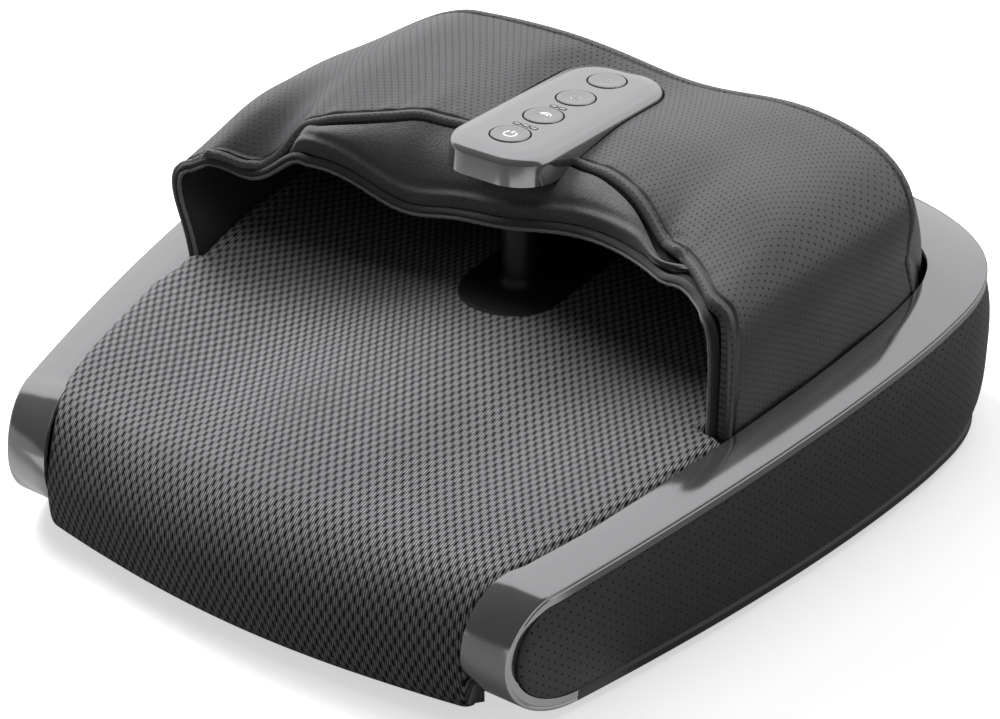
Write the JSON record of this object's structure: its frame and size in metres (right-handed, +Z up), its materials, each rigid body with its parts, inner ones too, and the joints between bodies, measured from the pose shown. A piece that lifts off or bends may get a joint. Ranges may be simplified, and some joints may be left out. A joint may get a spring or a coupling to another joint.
{
  "type": "foot massager",
  "caption": "Foot massager with a leatherette hood over two foot chambers, a mesh foot pad, a metal trim band and a button panel on a centre post.",
  "frame": {"origin": "on the floor under the middle of the object's box", "axes": "+Z up, +Y from the open front towards the rear, +X to the user's right side as seen from the front"},
  "size_m": [0.4032, 0.4292, 0.1726],
  "materials": {
    "satin_trim": "satin gunmetal",
    "panel_metal": "satin metallic grey",
    "button_metal": "satin metallic grey",
    "leatherette": "perforated, fine grain",
    "mesh_cloth": "woven mesh",
    "lining_cloth": "matte knit",
    "felt": "soft felt",
    "binding_cloth": "rolled binding",
    "rail_plastic": "matte",
    "black_plastic": "matte",
    "post_plastic": "satin",
    "white_plastic": "matte",
    "steel": "turned",
    "brass": "plain",
    "rubber": "matte",
    "circuit_board": "plain"
  },
  "bodies": {
    "base": {"trim_band": "satin_trim", "side_wrap": "leatherette", "lower_rail": "rail_plastic", "base_pan": "black_plastic", "front_left_foot": "rubber", "front_right_foot": "rubber", "rear_left_foot": "rubber", "rear_right_foot": "rubber", "front_left_screw": "steel", "front_right_screw": "steel", "rear_left_screw": "steel", "rear_right_screw": "steel", "top_deck": "black_plastic", "foot_pad": "mesh_cloth", "center_post": "post_plastic", "hood_cover": "leatherette", "hood_lining": "lining_cloth", "front_flap": "felt", "front_binding": "binding_cloth", "left_air_bag": "rubber", "right_air_bag": "rubber", "panel_cover": "panel_metal", "panel_base": "black_plastic", "control_board": "circuit_board", "left_idler_pin": "steel", "right_idler_pin": "steel", "drive_motor": "steel", "motor_cradle": "black_plastic", "left_shaft_bearing": "brass", "right_shaft_bearing": "brass", "air_pump": "rail_plastic", "valve_block": "black_plastic", "pump_hose": "rubber", "left_air_hose": "rubber", "right_air_hose": "rubber", "main_board": "circuit_board", "power_inlet": "black_plastic"},
    "power_key": {"power_button": "button_metal"},
    "air_key": {"air_button": "button_metal"},
    "roller_key": {"roller_button": "button_metal"},
    "heat_key": {"heat_button": "button_metal"},
    "left_rear_drive": {"left_rear_head": "white_plastic", "left_rear_shaft": "steel", "left_rear_gear": "white_plastic", "left_worm_wheel": "brass"},
    "left_front_drive": {"left_front_head": "white_plastic", "left_front_shaft": "steel", "left_front_gear": "white_plastic"},
    "left_idler": {"left_idler_gear": "white_plastic"},
    "right_rear_drive": {"right_rear_head": "white_plastic", "right_rear_shaft": "steel", "right_rear_gear": "white_plastic", "right_worm_wheel": "brass"},
    "right_front_drive": {"right_front_head": "white_plastic", "right_front_shaft": "steel", "right_front_gear": "white_plastic"},
    "right_idler": {"right_idler_gear": "white_plastic"},
    "motor_drive": {"worm_shaft": "steel"}
  },
  "joints": [
    {"name": "power_press", "type": "slide", "parent": "base", "child": "power_key", "axis": [0, -0.0349, -0.9994], "range_m": [0, 0.0008], "stiffness_N_per_m": 900},
    {"name": "air_press", "type": "slide", "parent": "base", "child": "air_key", "axis": [0, -0.0349, -0.9994], "range_m": [0, 0.0008], "stiffness_N_per_m": 900},
    {"name": "roller_press", "type": "slide", "parent": "base", "child": "roller_key", "axis": [0, -0.0349, -0.9994], "range_m": [0, 0.0008], "stiffness_N_per_m": 900},
    {"name": "heat_press", "type": "slide", "parent": "base", "child": "heat_key", "axis": [0, -0.0349, -0.9994], "range_m": [0, 0.0008], "stiffness_N_per_m": 900},
    {"name": "left_rear_turn", "type": "hinge", "parent": "base", "child": "left_rear_drive", "pos_m": [-0.075, 0.02195, 0.03], "axis": [0, 0, 1], "continuous": true},
    {"name": "left_front_turn", "type": "hinge", "parent": "base", "child": "left_front_drive", "pos_m": [-0.075, -0.06805, 0.03], "axis": [0, 0, 1], "continuous": true},
    {"name": "left_idler_turn", "type": "hinge", "parent": "base", "child": "left_idler", "pos_m": [-0.075, -0.02305, 0.041], "axis": [0, 0, 1], "continuous": true},
    {"name": "right_rear_turn", "type": "hinge", "parent": "base", "child": "right_rear_drive", "pos_m": [0.075, 0.02195, 0.03], "axis": [0, 0, 1], "continuous": true},
    {"name": "right_front_turn", "type": "hinge", "parent": "base", "child": "right_front_drive", "pos_m": [0.075, -0.06805, 0.03], "axis": [0, 0, 1], "continuous": true},
    {"name": "right_idler_turn", "type": "hinge", "parent": "base", "child": "right_idler", "pos_m": [0.075, -0.02305, 0.041], "axis": [0, 0, 1], "continuous": true},
    {"name": "motor_turn", "type": "hinge", "parent": "base", "child": "motor_drive", "pos_m": [0, 0.04995, 0.0275], "axis": [1, 0, 0], "continuous": true}
  ],
  "couplings": [
    {"joint": "left_rear_turn", "follows": "motor_turn", "ratio": -0.041667},
    {"joint": "left_front_turn", "follows": "motor_turn", "ratio": -0.041667},
    {"joint": "left_idler_turn", "follows": "motor_turn", "ratio": 0.083333},
    {"joint": "right_rear_turn", "follows": "motor_turn", "ratio": 0.041667},
    {"joint": "right_front_turn", "follows": "motor_turn", "ratio": 0.041667},
    {"joint": "right_idler_turn", "follows": "motor_turn", "ratio": -0.083333}
  ]
}
